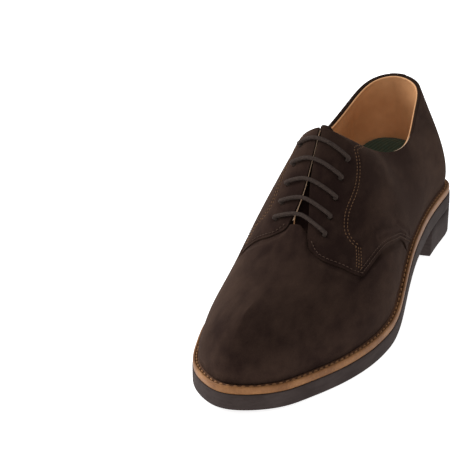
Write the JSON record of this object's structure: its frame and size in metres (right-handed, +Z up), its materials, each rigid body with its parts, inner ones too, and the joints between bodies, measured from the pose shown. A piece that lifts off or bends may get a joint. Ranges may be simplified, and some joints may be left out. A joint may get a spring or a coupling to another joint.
{
  "type": "derby shoe",
  "caption": "Left plain-toe derby shoe in dark brown suede, laced closed, tan leather lining and welt, rubber sole and heel.",
  "frame": {"origin": "on the ground, under the middle of the shoe's outline", "axes": "+Z up, +Y towards the heel so that the toe points along -Y, +X towards the outer side of the foot"},
  "size_m": [0.0996, 0.3015, 0.1038],
  "materials": {
    "suede": "napped suede, matt, very dark brown",
    "tan_leather": "smooth tan lining leather, slight sheen",
    "welt_leather": "tan vegetable-tanned welt leather, satin",
    "dark_rubber": "moulded rubber, dark brown, matt",
    "green_sock": "textured dark green sock lining",
    "foam": "cream foam",
    "fibre_board": "pressed leather board",
    "stay_tape": "woven cotton tape",
    "cork": "pressed cork granules",
    "steel": "plain steel",
    "thread": "waxed thread, brown",
    "lace_cord": "braided cotton, very dark brown",
    "aglet_plastic": "dark tube"
  },
  "bodies": {
    "root": {"aglet_1": "aglet_plastic", "aglet_2": "aglet_plastic", "backstay": "suede", "cork_filler": "cork", "eyelet_lateral_1": "steel", "eyelet_lateral_2": "steel", "eyelet_lateral_3": "steel", "eyelet_lateral_4": "steel", "eyelet_lateral_5": "steel", "eyelet_medial_1": "steel", "eyelet_medial_2": "steel", "eyelet_medial_3": "steel", "eyelet_medial_4": "steel", "eyelet_medial_5": "steel", "facing_stay_lateral": "stay_tape", "facing_stay_medial": "stay_tape", "heel_block": "dark_rubber", "heel_counter": "fibre_board", "heel_nail_1": "steel", "heel_nail_2": "steel", "heel_nail_3": "steel", "heel_nail_4": "steel", "heel_nail_5": "steel", "heel_pad": "foam", "heel_top_piece": "dark_rubber", "insole": "fibre_board", "insole_rib": "fibre_board", "lace": "lace_cord", "outsole": "dark_rubber", "quarter_lateral": "suede", "quarter_lining": "tan_leather", "quarter_medial": "suede", "shank": "steel", "sock_liner": "green_sock", "toe_puff": "fibre_board", "vamp": "suede", "vamp_lining": "tan_leather", "welt": "welt_leather", "welt_thread": "thread"},
    "tongue": {"tongue": "suede", "tongue_lining": "tan_leather"}
  },
  "joints": [
    {"name": "tongue_hinge", "type": "hinge", "parent": "root", "child": "tongue", "pos_m": [0, -0.0684, 0.04696], "axis": [-1, 0, 0], "range_deg": [0, 18], "stiffness_Nm_per_rad": 0.08, "springref_deg": -8.59}
  ]
}
